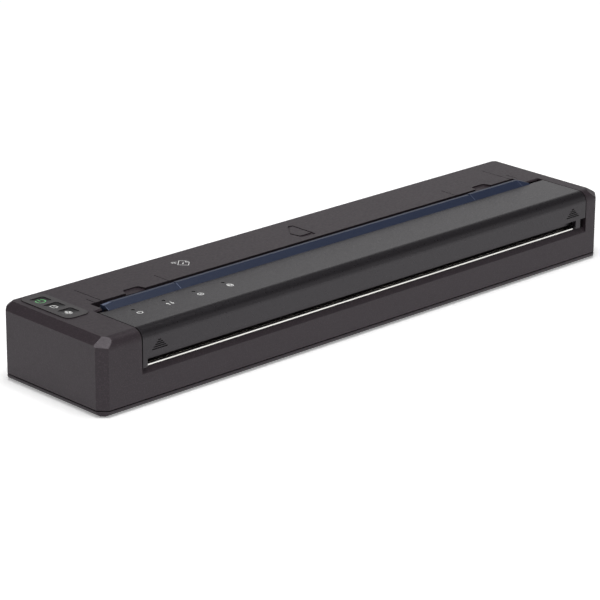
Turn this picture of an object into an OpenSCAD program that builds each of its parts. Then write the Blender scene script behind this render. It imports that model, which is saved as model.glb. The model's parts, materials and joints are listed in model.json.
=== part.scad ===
// Portable thermal printer for A4 sheets.
// +X runs along the case to the right, -Y is the front, +Z is up, the feet stand on Z = 0.

/* [Case] */
// Length of the case, end to end
case_length = 255; // [250:1:320]
// Depth of the case, front to back
case_depth = 55; // [54:1:72]
// Height of the flat top above the table
top_height = 28.2; // [27.5:0.1:36]
// Wall thickness of the case shells
wall = 2; // [1.6:0.1:2.4]
// Chamfer on the four upright corners
corner_chamfer = 3.3; // [1.5:0.1:4]
// Width of the sloping band along each end of the top
end_slope_width = 3.9; // [2:0.1:5]
// Drop of the sloping band along each end of the top
end_slope_drop = 2.2; // [1:0.1:3]
// Radius of the front top edge
front_radius = 4; // [3:0.1:5]
// How far the feet stand out below the case
foot_proud = 0.6; // [0.3:0.1:1.5]
// Height of the lower tray's visible rim
tray_rim = 1.9; // [1.5:0.1:4]
// Gap along the seams of the case and the cover
seam = 0.4; // [0.3:0.05:0.6]

/* [Release cover] */
// Length of the block left of the cover
left_block = 18; // [17:0.5:24]
// Length of the block right of the cover
right_block = 8.7; // [8.5:0.1:14]
// Height of the cover's front lip above the table
cover_lip_height = 18; // [17.2:0.1:20]
// Wall thickness of the cover
cover_wall = 1.8; // [1.4:0.1:2]
// Distance of the cover's hinge behind the front face
hinge_back = 24.5; // [23.5:0.1:26]
// Outer radius of the hinge knuckles
knuckle_radius = 1.6; // [1.4:0.1:1.8]
// How far the hinge knuckles lie below the flat top
hinge_drop = 0.8; // [0.6:0.05:1]
// Radius of the steel pins of the cover's hinge
hinge_pin_radius = 0.75; // [0.6:0.05:0.9]
// Height of the ridge along the paper mouth
ridge_height = 1.8; // [1:0.1:3]
// Width of the paper mouth behind the ridge
mouth_width = 5.2; // [4.9:0.1:6.5]

/* [Print mechanism] */
// Height of the print line above the table
nip_height = 15; // [14:0.1:16]
// Distance of the platen roller behind the front face
platen_back = 11.3; // [10.8:0.1:12]
// Radius of the rubber platen
platen_radius = 5.1; // [4.5:0.1:5.4]
// Radius of the platen's steel core
platen_core_radius = 2.5; // [2.2:0.1:3]
// Radius of the platen's bearing journals
journal_radius = 2; // [1.5:0.1:2.1]
// Gap between the paper guides
paper_gap = 1.2; // [0.8:0.1:1.6]
// Module of the gear teeth
gear_module = 0.5; // [0.45:0.01:0.52]
// Radial clearance of shafts and pins that turn in their holes
running_fit = 0.05; // [0.02:0.01:0.1]
// Radius of the feed motor
motor_radius = 6.8; // [5:0.1:6.8]

/* [Battery] */
// Radius of the battery stick
battery_radius = 9.1; // [7:0.1:9.3]
// Length of the battery stick
battery_length = 205; // [150:1:206]
// Thickness of the battery door
door_thickness = 1.6; // [1.2:0.1:1.8]

/* [Buttons] */
// Width of a button along the case
button_width = 6; // [4.5:0.1:6.4]
// Depth of a button across the case
button_depth = 5.3; // [4:0.1:5.8]
// Distance between the buttons
button_pitch = 7.7; // [7.3:0.1:9]
// Travel of a button
button_travel = 0.5; // [0.3:0.1:0.6]

/* [Paper sizes] */
// Width of an A4 sheet
a4_width = 210; // [200:1:212]
// Width of an A5 sheet
a5_width = 148; // [140:1:180]
// Width of a letter sheet
letter_width = 215.9; // [214:0.1:217]

/* [Hidden] */

charcoal = [0.19, 0.18, 0.19];
soft_black = [0.1, 0.1, 0.11];
navy = [0.16, 0.2, 0.32];
steel = [0.75, 0.75, 0.77];
zinc = [0.62, 0.63, 0.6];
circuit_green = [0.1, 0.35, 0.2];
rubber_grey = [0.22, 0.22, 0.22];
gear_white = [0.85, 0.84, 0.8];
brass = [0.75, 0.62, 0.3];

round_fn = 96;
small_fn = 48;
eps = 0.01;

// Landmarks of the case
left = -case_length / 2;
right = case_length / 2;
front = -case_depth / 2;
rear = case_depth / 2;
base = foot_proud;
parting = base + tray_rim;
base_chamfer = 1;
rear_chamfer = 1.2;
floor_thickness = 1.6;
floor_top = base + floor_thickness;
deck_under = top_height - wall;
lip_height = 1.8;
lip_wall = 1.4;
lip_gap = 0.15;
lip_top = parting + lip_height;
lip_inner = wall + lip_gap + lip_wall;

// The bay that the cover closes
bay_left = left + left_block;
bay_right = right - right_block;
cover_left = bay_left + seam;
cover_right = bay_right - seam;
path_x = (bay_left + bay_right) / 2;
bay_wall = 1.6;
cover_under = top_height - cover_wall;
hinge_y = front + hinge_back;
hinge_z = top_height - hinge_drop - knuckle_radius;
knuckle_gap = 0.3;
knuckle_length = 3.5;
pin_seat = 1.4;

// The ridge and the paper mouth
ridge_slope = 3.1;
ridge_flat = 1.5;
ridge_step = 0.15;
ridge_top = top_height + ridge_height;
ridge_rear = hinge_y + 2.5;
ridge_foot = ridge_rear - ridge_slope - ridge_flat;
ridge_left = bay_left + 4.3;
ridge_right = bay_right - 8.3;
ridge_seat = ridge_rear - cover_wall;
deck_edge = ridge_rear + mouth_width;
mouth_left = ridge_left - seam;
mouth_right = ridge_right + seam;

// The open grooves over the hinge, between the deck's corners and the cover
corner_edge = hinge_y + 1;
corner_gap = 2.8;
cover_corner = corner_edge - corner_gap;

// The exit slot and the front wall under it
slot_left = bay_left + 2.5;
slot_right = bay_right - 5.9;
tab_foot = 14.2;
right_tab_width = 2.6;
tear_thickness = 0.95;
tear_top = nip_height - 0.1;
tear_front = front + 1.3;
tear_depth = 1.2;
ledge_rear = tear_front + 3.6;
ledge_top = tear_top - 0.15;
sill_top = tear_top - tear_thickness;
sill_front = sill_top - 1.9;

// The platen, the side plates and the gear train
platen_y = front + platen_back;
platen_z = nip_height - platen_radius;
plate_thickness = 1;
plate_gap = 0.6;
plate_front = front + lip_inner + 0.2;
left_plate_x = bay_left + plate_gap;
right_plate_x = bay_right - plate_gap - plate_thickness;
rubber_length = letter_width + 0.1;
rubber_left = path_x - rubber_length / 2;
rubber_right = path_x + rubber_length / 2;
bush_radius = journal_radius + 2;
bush_flange = 1;
gear_width = 2.1;
gear_step = 0.3;
platen_teeth = 24;
small_teeth = 14;
large_teeth = 34;
pinion_teeth = 12;
gear_a_right = left_plate_x - bush_flange - 0.1;
gear_a_left = gear_a_right - gear_width;
gear_b_right = gear_a_left - gear_step;
gear_b_left = gear_b_right - gear_width;
pressure_angle = 20;
backlash = 0.14;
axle_radius = 1.2;
motor_shaft_radius = 0.75;
// Direction from the platen to the reduction gear, and from there to the motor
reduction_angle = 18.5;
motor_angle = -16.7;
reduction_reach = gear_module * (platen_teeth + small_teeth) / 2;
motor_reach = gear_module * (large_teeth + pinion_teeth) / 2;
reduction_y = platen_y + reduction_reach * cos(reduction_angle);
reduction_z = platen_z + reduction_reach * sin(reduction_angle);
motor_y = reduction_y + motor_reach * cos(motor_angle);
motor_z = reduction_z + motor_reach * sin(motor_angle);
motor_length = 16;
motor_left = left_plate_x + plate_thickness;

// The paper guides: a straight chute from the deck's edge down to the platen
chute_top = [deck_edge + 0.1, deck_under];
chute_foot = [platen_y + 3.6, nip_height + 0.5];
chute_slope = (chute_top.y - chute_foot.y) / (chute_top.x - chute_foot.x);
chute_angle = atan(chute_slope);
guide_thickness = 1.2;
function chute_z(y) = chute_top.y + (y - chute_top.x) * chute_slope;
function above(rise) = rise / cos(chute_angle);
sensor_x = path_x - 38;
guide_left = cover_left + cover_wall + 0.3;
guide_right = cover_right - cover_wall - 0.3;

// The thermal head that hangs in the cover
head_gap = 0.35;
head_under = nip_height + head_gap;
head_rear = platen_y + 1.7;
head_front = head_rear - 8.8;
substrate_thickness = 1;
sink_height = 3.1;
sink_top = head_under + substrate_thickness + sink_height;
bracket_thickness = 0.8;
bracket_top = sink_top + bracket_thickness;
head_left = rubber_left + 0.2;
head_right = rubber_right - 0.2;
head_pivot_y = platen_y + 5.7;
head_pivot_z = nip_height + 7.6;
head_pin_radius = 0.9;
lug_width = 1.4;
ear_width = 1;
lug_gap = 0.3;
spring_y = platen_y - 1.5;
spring_radius = 2;
spring_wire = 0.25;
spring_places = [-70, 0, 70];

// The rib of the cover that hides the head behind the exit slot
head_guard = 0.8;
head_guard_rear = head_front - 0.9;
head_guard_foot = head_under + 0.55;

// The indicators and the buttons
lens_radius = 0.7;
lens_first = bay_left + 11;
lens_pitch = 13.95;
lens_count = 4;
lens_y = front + 17.5;
button_x = left + 11.4;
panel_width = 10.4;
panel_front = front + 25;
panel_rear = front + 52.5;
button_row = [for (i = [1, 0, -1]) (panel_front + panel_rear) / 2 + i * button_pitch];
panel_radius = 3;
panel_proud = 0.25;
panel_flange = 1;
panel_under = deck_under - panel_flange;
button_gap = 0.15;
button_flange = 0.45;
button_flange_height = 0.8;
button_seat = panel_under - 0.05;
button_board_top = deck_under - 4.3;
board_thickness = 1.2;
switch_height = 1.5;
stem_foot = button_board_top + switch_height + button_travel + 0.1;

// The battery, its door and the ports
battery_y = rear - 12.9;
battery_z = 13;
battery_right = right - 2.9;
battery_left = battery_right - battery_length;
saddle_gap = 0.3;
door_pivot_y = battery_y - 10;
door_knuckle = 1.2;
door_gap = 0.3;
door_pin_radius = 0.6;
door_low = base + 3.8;
door_high = door_low + 20.2;
door_edge = battery_y + 9;
usb_x = left + 31.5;
jack_x = left + 19;
port_board_z = 5;
usb_width = 8.9;
usb_height = 3.2;
usb_z = port_board_z + board_thickness + usb_height / 2;
jack_radius = 4.1;
jack_z = port_board_z + board_thickness + jack_radius;

// Screws
screw_radius = 1;
screw_head_radius = 1.9;
screw_head = 0.9;
case_screw_places = [
    [left + 7.5, front + 8], [battery_left - 7, rear - 5.5],
    [right - 4.4, front + 8], [right - 4.4, front + 25.5]
];
case_screw_top = 13;
boss_radius = 2.4;
main_board_z = 6;
main_board_left = battery_left + 2;
main_board_right = bay_right - 15;
main_board_front = platen_y + 6.9;
main_board_rear = battery_y - battery_radius - 1.3;
main_screw_places = [
    for (x = [main_board_left + 4, main_board_right - 4])
        for (y = [main_board_front + 2.4, main_board_rear - 2.4]) [x, y]
];
flange_length = 6.6;
chassis_screw_places = [
    for (x = [left_plate_x + plate_thickness + 3.4, right_plate_x - 3.4])
        for (y = [platen_y - 5, platen_y + 6.7]) [x, y]
];
port_screw_x = left + 25.2;
button_post_places = [[button_x - 4, panel_front + 1.4], [button_x - 4, panel_rear - 1.4]];

// Parts on the main board: [centre X as a share of its length, length, depth, height]
board_chips = [
    [0.12, 14, 5, 2.6], [0.22, 9, 9, 1.2], [0.34, 6, 5, 1], [0.46, 10, 10, 1.4], [0.58, 7, 7, 3.2],
    [0.68, 12, 4.5, 2.4], [0.78, 7, 7, 3.2], [0.88, 9, 6, 1.2]
];

// Extrusions along the three axes; a profile's axes are Y and Z, X and Z, or X and Y
module along_x(from, to) {
    translate([from, 0, 0])
        rotate([90, 0, 90])
            linear_extrude(to - from)
                children();
}

module along_y(from, to) {
    translate([0, to, 0])
        rotate([90, 0, 0])
            linear_extrude(to - from)
                children();
}

module along_z(from, to) {
    translate([0, 0, from])
        linear_extrude(to - from)
            children();
}

module block(low, high) {
    translate(low)
        cube(high - low);
}

module rounded_plate(width, depth, radius) {
    square([width - 2 * radius, depth], center = true);
    square([width, depth - 2 * radius], center = true);
    for (sx = [-1, 1], sy = [-1, 1])
        translate([sx * (width / 2 - radius), sy * (depth / 2 - radius)])
            circle(radius, $fn = small_fn);
}

// The outer form of the case, or the same form a wall's thickness further in
module plan_outline(inset) {
    cut = corner_chamfer - inset * (2 - sqrt(2));
    x = right - inset;
    y = rear - inset;
    polygon([
        [-x + cut, -y], [x - cut, -y], [x, -y + cut], [x, y - cut],
        [x - cut, y], [-x + cut, y], [-x, y - cut], [-x, -y + cut]
    ]);
}

module side_profile(inset) {
    low = base;
    high = top_height - inset;
    radius = max(eps, front_radius - inset);
    near = front + inset;
    far = rear - inset;
    foot = max(eps, base_chamfer - inset);
    brow = max(eps, rear_chamfer - inset * (2 - sqrt(2)));
    difference() {
        polygon([
            [near + foot, low], [far - foot, low], [far, low + foot], [far, high - brow],
            [far - brow, high], [near, high], [near, low + foot]
        ]);
        translate([near, high - radius])
            difference() {
                translate([-1, 0])
                    square([radius + 1, radius + 1]);
                translate([radius, 0])
                    circle(radius, $fn = round_fn);
            }
    }
}

module end_profile(inset) {
    slope = atan(end_slope_drop / end_slope_width);
    foot = max(eps, base_chamfer - inset);
    low = base;
    high = top_height - inset;
    shoulder = top_height - end_slope_drop + inset * tan(slope) - inset / cos(slope);
    x = right - inset;
    crown = right - (end_slope_drop - inset + inset / cos(slope)) / tan(slope);
    polygon([
        [-x + foot, low], [x - foot, low], [x, low + foot], [x, shoulder],
        [crown, high], [-crown, high], [-x, shoulder], [-x, low + foot]
    ]);
}

module case_form(inset, low, high) {
    intersection() {
        along_z(low, high)
            plan_outline(inset);
        along_x(left - 1, right + 1)
            side_profile(inset);
        along_y(front - 1, rear + 1)
            end_profile(inset);
    }
}

// What is cut from the case for the cover: the mouth between the decks and the hinge corners
module cover_bay() {
    corner_break = 0.5;
    along_x(mouth_left, mouth_right)
        polygon([
            [front - 1, sill_front], [front, sill_front], [tear_front, sill_top],
            [deck_edge, sill_top], [deck_edge, top_height + 1], [front - 1, top_height + 1]
        ]);
    for (span = [[bay_left, mouth_left + eps], [mouth_right - eps, bay_right]])
        along_x(span[0], span[1]) {
            polygon([
                [front - 1, sill_front], [front, sill_front], [tear_front, sill_top],
                [hinge_y, sill_top], [hinge_y, top_height + 1], [front - 1, top_height + 1]
            ]);
            translate([hinge_y, hinge_z])
                circle(knuckle_radius + knuckle_gap, $fn = small_fn);
            polygon([
                [hinge_y - eps, hinge_z], [corner_edge, hinge_z], [corner_edge, top_height - corner_break],
                [corner_edge + corner_break, top_height + eps], [corner_edge + corner_break, top_height + 1],
                [hinge_y - eps, top_height + 1]
            ]);
        }
}

// Facets where the end slopes, the long top edges and the upright chamfers meet
module corner_facets() {
    tilt = 38.8;
    heading = 50.5;
    size = 20;
    for (side_x = [-1, 1], side_y = [-1, 1]) {
        reach = side_y < 0 ? front_radius + 0.4 : rear_chamfer + 1;
        translate([side_x * (right - end_slope_width), side_y * (rear - reach), top_height])
            rotate([0, tilt, atan2(side_y * sin(heading), side_x * cos(heading))])
                translate([-size / 2, -size / 2, 0])
                    cube(size);
    }
}

// Shallow scoop for a fingertip, deepest at the mouth
module finger_scoop(x) {
    scoop_length = 9.4;
    scoop_depth = 3.2;
    rear_cut = 0.35;
    mouth_cut = 1;
    translate([x, deck_edge, 0])
        intersection() {
            along_z(top_height - 2 * mouth_cut, top_height + 1)
                polygon([
                    [-scoop_length / 2, -1], [-scoop_length / 2 + 1, scoop_depth - 0.6],
                    [-scoop_length / 2 + 2, scoop_depth], [scoop_length / 2 - 2, scoop_depth],
                    [scoop_length / 2 - 1, scoop_depth - 0.6], [scoop_length / 2, -1]
                ]);
            along_x(-scoop_length, scoop_length)
                polygon([
                    [-1.5, top_height - mouth_cut], [scoop_depth + 1, top_height - rear_cut],
                    [scoop_depth + 1, top_height + 2], [-1.5, top_height + 2]
                ]);
        }
}

// Outlined arrow behind the middle of the mouth, with a ramp along its front edge
module centre_mark() {
    depth = 0.35;
    ramp = 0.9;
    inner = 0.8;
    centre = [-1.9, 9.9];
    front_left = [-5.45, 3.8];
    front_right = [1.45, 3.8];
    outline = [[-0.45, 16.3], [1.5, 15.8], front_right, front_left, [-6.45, 9.5]];
    translate([path_x, deck_edge, 0]) {
        along_z(top_height - depth, top_height + 1)
            difference() {
                polygon(outline);
                translate(centre)
                    scale(inner)
                        translate(-centre)
                            polygon(outline);
            }
        along_x(front_left.x, front_right.x)
            polygon([
                [front_left.y - ramp, top_height + eps], [front_left.y + eps, top_height - depth],
                [front_left.y + eps, top_height + eps]
            ]);
    }
}

// Paper-size marks: shallow grooves that run to the mouth
module size_mark(offset, length) {
    groove = 0.3;
    depth = 0.2;
    for (side = [-1, 1])
        block(
            [path_x + side * offset - groove / 2, deck_edge - 1, top_height - depth],
            [path_x + side * offset + groove / 2, deck_edge + length, top_height + 1]
        );
}

module screw_bore(place, radius, low, high) {
    translate([place.x, place.y, low])
        cylinder(h = high - low, r = radius, $fn = small_fn);
}

module upper_case() color(charcoal) {
    gear_window_top = reduction_z + gear_module * large_teeth / 2 + 1.2;
    difference() {
        union() {
            difference() {
                case_form(0, parting + seam / 2, top_height + 1);
                case_form(wall, parting - 1, top_height + 1);
            }
            // walls at both ends of the bay, stepped over the tray's lip
            for (from = [bay_left - bay_wall, bay_right])
                along_x(from, from + bay_wall)
                    polygon([
                        [front + wall - eps, lip_top + 0.2], [plate_front, lip_top + 0.2],
                        [plate_front, parting + seam / 2], [deck_edge, parting + seam / 2],
                        [deck_edge, deck_under + eps], [front + wall - eps, deck_under + eps]
                    ]);
            for (place = case_screw_places)
                screw_bore(place, boss_radius, case_screw_top - 5, deck_under + eps);
        }
        cover_bay();
        corner_facets();
        // window for the gear train
        block([bay_left - bay_wall - 1, front + wall + 1.5, parting - 1],
            [bay_left + 1, deck_edge + 1, gear_window_top]);
        // seats of the hinge pins
        along_x(bay_left - pin_seat, bay_left + 1)
            translate([hinge_y, hinge_z])
                circle(hinge_pin_radius, $fn = small_fn);
        along_x(bay_right - 1, bay_right + pin_seat)
            translate([hinge_y, hinge_z])
                circle(hinge_pin_radius, $fn = small_fn);
        for (place = case_screw_places)
            screw_bore(place, screw_radius, case_screw_top - 6, case_screw_top + 1);
        button_opening();
        battery_opening();
        port_openings();
        for (side = [-1, 1])
            finger_scoop(path_x + side * 89.4);
        size_mark(a4_width / 2, 15);
        size_mark(a5_width / 2, 8);
        size_mark(letter_width / 2, 5);
        centre_mark();
    }
    tear_ledge();
}

// Ledge that the tear bar leans on and the sheet slides out over
module tear_ledge() {
    along_x(slot_left + 0.3, slot_right - 0.3)
        polygon([
            [front + wall - eps, sill_top], [tear_front + tear_depth, sill_top],
            [tear_front + tear_depth, ledge_top], [ledge_rear, ledge_top],
            [ledge_rear, sill_top - 0.6], [front + wall - eps, sill_top - 1.4]
        ]);
}

module button_opening() {
    translate([button_x, (panel_front + panel_rear) / 2, 0])
        along_z(deck_under - 1, top_height + 1)
            rounded_plate(panel_width + 0.3, panel_rear - panel_front + 0.3, panel_radius + 0.15);
}

module battery_opening() {
    block([right - wall - 1, door_pivot_y - door_knuckle - 0.5, door_low],
        [right + 1, door_edge + door_gap, door_high]);
    translate([right - door_knuckle, door_pivot_y, door_low - pin_seat])
        cylinder(h = door_high - door_low + 2 * pin_seat, r = door_pin_radius, $fn = small_fn);
}

module usb_outline(width, height) {
    radius = height / 2;
    square([width - height, height], center = true);
    for (side = [-1, 1])
        translate([side * (width / 2 - radius), 0])
            circle(radius, $fn = small_fn);
}

module port_openings() {
    along_y(rear - wall - 1, rear + 1) {
        translate([usb_x, usb_z])
            usb_outline(usb_width + 0.5, usb_height + 0.5);
        translate([jack_x, jack_z])
            circle(jack_radius + 0.2, $fn = small_fn);
    }
}

module saddle(x) {
    difference() {
        block([x - 1, battery_y - battery_radius - 1, floor_top - eps],
            [x + 1, battery_y + battery_radius + 1, battery_z - 3]);
        along_x(x - 2, x + 2)
            translate([battery_y, battery_z])
                circle(battery_radius + saddle_gap, $fn = round_fn);
    }
}

module lower_case() color(charcoal) {
    rim_top = parting - seam / 2;
    foot_seat = 0.4;
    difference() {
        union() {
            difference() {
                union() {
                    case_form(0, base, rim_top);
                    case_form(wall + lip_gap, base + 0.5, lip_top);
                }
                case_form(lip_inner, floor_top, lip_top + 1);
            }
            for (place = case_screw_places)
                screw_bore(place, boss_radius, floor_top - eps, case_screw_top - 5);
            for (place = main_screw_places)
                screw_bore(place, 2, floor_top - eps, main_board_z);
            screw_bore([port_screw_x, rear - 12.5], 2, floor_top - eps, port_board_z);
            screw_bore([usb_x + 3, rear - 12.5], 2, floor_top - eps, port_board_z);
            for (x = [battery_left + 12, battery_left + 75, battery_left + 140, battery_right - 12])
                saddle(x);
            // wall that the battery contacts stand on
            block([battery_left - 4.2, battery_y - 8, floor_top - eps],
                [battery_left - 2.4, battery_y + 8, battery_z + 6]);
        }
        for (place = case_screw_places) {
            screw_bore(place, screw_radius + 0.15, base - 1, case_screw_top);
            screw_bore(place, screw_head_radius + 0.2, base - 1, base + screw_head + 0.1);
        }
        for (place = main_screw_places)
            screw_bore(place, screw_radius, floor_top, main_board_z + 1);
        screw_bore([port_screw_x, rear - 12.5], screw_radius, floor_top, port_board_z + 1);
        screw_bore([usb_x + 3, rear - 12.5], screw_radius, floor_top, port_board_z + 1);
        for (side_x = [-1, 1], side_y = [-1, 1])
            translate([side_x * (right - 24), side_y * (rear - 8), base - 1])
                linear_extrude(1 + foot_seat)
                    rounded_plate(16, 6, 2.9);
        for (place = chassis_screw_places)
            screw_bore(place, screw_radius, floor_top - 1, floor_top + 1);
        // room for the lower part of the door's frame
        block([right - wall - lip_gap - lip_wall - 1, door_pivot_y - 3, parting],
            [right + 1, door_edge + 1, lip_top + 1]);
    }
}

module rubber_feet() color(rubber_grey) {
    for (side_x = [-1, 1], side_y = [-1, 1])
        translate([side_x * (right - 24), side_y * (rear - 8), 0])
            linear_extrude(base + 0.4)
                rounded_plate(15.8, 5.8, 2.8);
}

module pan_screw(place, head_low, length, points_up) {
    translate([place.x, place.y, head_low]) {
        difference() {
            cylinder(h = screw_head, r = screw_head_radius, $fn = small_fn);
            translate([0, 0, points_up ? -eps : screw_head - 0.5])
                for (turn = [0, 90])
                    rotate(turn)
                        translate([-1, -0.25, 0])
                            cube([2, 0.5, 0.5 + eps]);
        }
        translate([0, 0, points_up ? screw_head - eps : -length])
            cylinder(h = length + eps, r = screw_radius, $fn = small_fn);
    }
}

module case_screws() color(steel) {
    for (place = case_screw_places)
        pan_screw(place, base + 0.1, case_screw_top - base - screw_head - 0.1, true);
}

module tear_bar() color(steel) {
    along_x(slot_left + 0.3, slot_right - 0.3)
        polygon([
            [tear_front - 0.1, sill_top + 0.25], [tear_front + 0.1, sill_top],
            [tear_front + tear_depth, sill_top], [tear_front + tear_depth, tear_top],
            [tear_front + 0.4, tear_top], [tear_front - 0.1, tear_top - 0.2]
        ]);
}

// Side plates of the mechanism, with a foot that is screwed to the tray
module plate_outline(reach) {
    difference() {
        polygon([
            [plate_front, floor_top], [plate_front, platen_z - 1], [platen_y - 5, nip_height - 1.4],
            [platen_y + 5, nip_height - 1.4], [platen_y + 8, nip_height + 1.2], [reach - 3, nip_height + 1.2],
            [reach, nip_height - 1.8], [reach, floor_top]
        ]);
        translate([platen_y, platen_z])
            circle(bush_radius, $fn = small_fn);
    }
}

module flange(from, to) {
    difference() {
        block([from, plate_front, floor_top], [to, platen_y + 9, floor_top + plate_thickness]);
        for (place = chassis_screw_places)
            screw_bore(place, screw_radius + 0.15, floor_top - 1, floor_top + 2);
    }
}

module left_side_plate() color(zinc) {
    difference() {
        union() {
            along_x(left_plate_x, left_plate_x + plate_thickness)
                plate_outline(motor_y + 6);
            flange(left_plate_x, left_plate_x + plate_thickness + flange_length);
        }
        along_x(left_plate_x - 1, left_plate_x + plate_thickness + 1) {
            translate([reduction_y, reduction_z])
                circle(axle_radius, $fn = small_fn);
            translate([motor_y, motor_z])
                circle(3, $fn = small_fn);
        }
    }
}

module right_side_plate() color(zinc) {
    along_x(right_plate_x, right_plate_x + plate_thickness)
        plate_outline(platen_y + 14);
    flange(right_plate_x - flange_length, right_plate_x + plate_thickness);
}

module chassis_screws() color(steel) {
    for (place = chassis_screw_places)
        pan_screw(place, floor_top + plate_thickness, 1.9, false);
}

module ring_along_x(from, to, outer, inner) {
    along_x(from, to)
        difference() {
            circle(outer, $fn = small_fn);
            circle(inner, $fn = small_fn);
        }
}

module platen_bushings() color(soft_black) {
    translate([0, platen_y, platen_z]) {
        ring_along_x(left_plate_x - bush_flange, left_plate_x, bush_radius + 0.8, journal_radius + running_fit);
        ring_along_x(left_plate_x - eps, left_plate_x + plate_thickness + 0.8, bush_radius,
            journal_radius + running_fit);
        ring_along_x(right_plate_x + plate_thickness, right_plate_x + plate_thickness + plate_gap - 0.15,
            bush_radius + 0.8, journal_radius + running_fit);
        ring_along_x(right_plate_x - 0.8, right_plate_x + plate_thickness + eps, bush_radius,
            journal_radius + running_fit);
    }
}

module platen_shaft() color(steel) {
    clip_groove = 0.3;
    translate([0, platen_y, platen_z])
        difference() {
            union() {
                along_x(rubber_left - 1, rubber_right + 1)
                    circle(platen_core_radius, $fn = small_fn);
                along_x(gear_a_left - 0.1, right_plate_x + plate_thickness + 0.3)
                    circle(journal_radius, $fn = small_fn);
            }
            for (from = [rubber_left - 2.2, rubber_right + 1.8])
                ring_along_x(from, from + 0.4, journal_radius + 1, journal_radius - clip_groove);
        }
}

module platen_rubber() color(rubber_grey) {
    translate([0, platen_y, platen_z])
        ring_along_x(rubber_left, rubber_right, platen_radius, platen_core_radius);
}

module platen_clips() color(steel) {
    translate([0, platen_y, platen_z])
        for (from = [rubber_left - 2.2, rubber_right + 1.8])
            along_x(from, from + 0.4)
                difference() {
                    circle(journal_radius + 1.1, $fn = small_fn);
                    circle(journal_radius - 0.3, $fn = small_fn);
                    translate([0, -0.9])
                        square([journal_radius + 2, 1.8]);
                }
}

// Involute gear teeth
function roll(angle) = tan(angle) * 180 / PI - angle;
function tooth_half(r, pitch, base_r, teeth) =
    90 / teeth - backlash / 2 / pitch * 90 / PI + roll(pressure_angle) - roll(acos(min(1, base_r / r)));

module gear_outline(teeth, tooth_angle) {
    pitch = gear_module * teeth / 2;
    base_r = pitch * cos(pressure_angle);
    root = pitch - 1.25 * gear_module;
    tip = pitch + 0.85 * gear_module;
    start = max(root + 0.05, base_r + 0.01);
    radii = [root, start, (start + pitch) / 2, pitch, (pitch + tip) / 2, tip];
    polygon([
        for (i = [0:teeth - 1])
            for (side = [-1, 1])
                for (k = [0:len(radii) - 1])
                    let (
                        r = side < 0 ? radii[k] : radii[len(radii) - 1 - k],
                        a = tooth_angle + i * 360 / teeth + side * tooth_half(r, pitch, base_r, teeth)
                    )
                    r * [cos(a), sin(a)]
    ]);
}

module platen_gear() color(gear_white) {
    translate([0, platen_y, platen_z])
        along_x(gear_a_left, gear_a_right)
            difference() {
                gear_outline(platen_teeth, reduction_angle);
                circle(journal_radius, $fn = small_fn);
            }
}

module reduction_gear() color(gear_white) {
    translate([0, reduction_y, reduction_z]) {
        along_x(gear_b_left, gear_b_right)
            difference() {
                gear_outline(large_teeth, motor_angle);
                circle(axle_radius + running_fit, $fn = small_fn);
                for (turn = [0:60:300])
                    rotate(turn)
                        translate([5.1, 0])
                            circle(1.4, $fn = small_fn);
            }
        along_x(gear_b_right - eps, gear_a_right)
            difference() {
                gear_outline(small_teeth, reduction_angle + 180 + 180 / small_teeth);
                circle(axle_radius + running_fit, $fn = small_fn);
            }
    }
}

module gear_axle() color(steel) {
    translate([0, reduction_y, reduction_z])
        difference() {
            union() {
                along_x(gear_b_left - 0.9, left_plate_x + plate_thickness)
                    circle(axle_radius, $fn = small_fn);
                along_x(gear_a_right + 0.1, left_plate_x)
                    circle(axle_radius + 0.8, $fn = small_fn);
            }
            ring_along_x(gear_b_left - 0.5, gear_b_left - 0.1, axle_radius + 1, axle_radius - 0.3);
        }
}

module gear_clip() color(steel) {
    translate([0, reduction_y, reduction_z])
        along_x(gear_b_left - 0.5, gear_b_left - 0.1)
            difference() {
                circle(axle_radius + 1.2, $fn = small_fn);
                circle(axle_radius - 0.3, $fn = small_fn);
                translate([0, -0.5])
                    square([axle_radius + 2, 1]);
            }
}

module motor_body() color(zinc) {
    boss = 2.9;
    translate([0, motor_y, motor_z])
        difference() {
            union() {
                along_x(motor_left, motor_left + 0.8)
                    rounded_plate(2 * motor_radius + 1, 2 * motor_radius - 1, 2);
                along_x(motor_left, motor_left + motor_length)
                    circle(motor_radius - 0.4, $fn = round_fn);
                for (x = [motor_left + 1.6, motor_left + 8.8])
                    along_x(x, x + 5.8)
                        circle(motor_radius, $fn = round_fn);
                along_x(left_plate_x - 0.5, motor_left + eps)
                    circle(boss, $fn = small_fn);
            }
            along_x(left_plate_x - 1, motor_left + 5)
                circle(motor_shaft_radius + running_fit, $fn = small_fn);
        }
}

module motor_shaft() color(steel) {
    translate([0, motor_y, motor_z])
        along_x(gear_b_left - 0.3, motor_left + 4.8)
            circle(motor_shaft_radius, $fn = small_fn);
}

module motor_pinion() color(brass) {
    translate([0, motor_y, motor_z])
        along_x(gear_b_left, gear_b_right + 0.8)
            difference() {
                gear_outline(pinion_teeth, motor_angle + 180 + 180 / pinion_teeth);
                circle(motor_shaft_radius, $fn = small_fn);
            }
}

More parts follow.
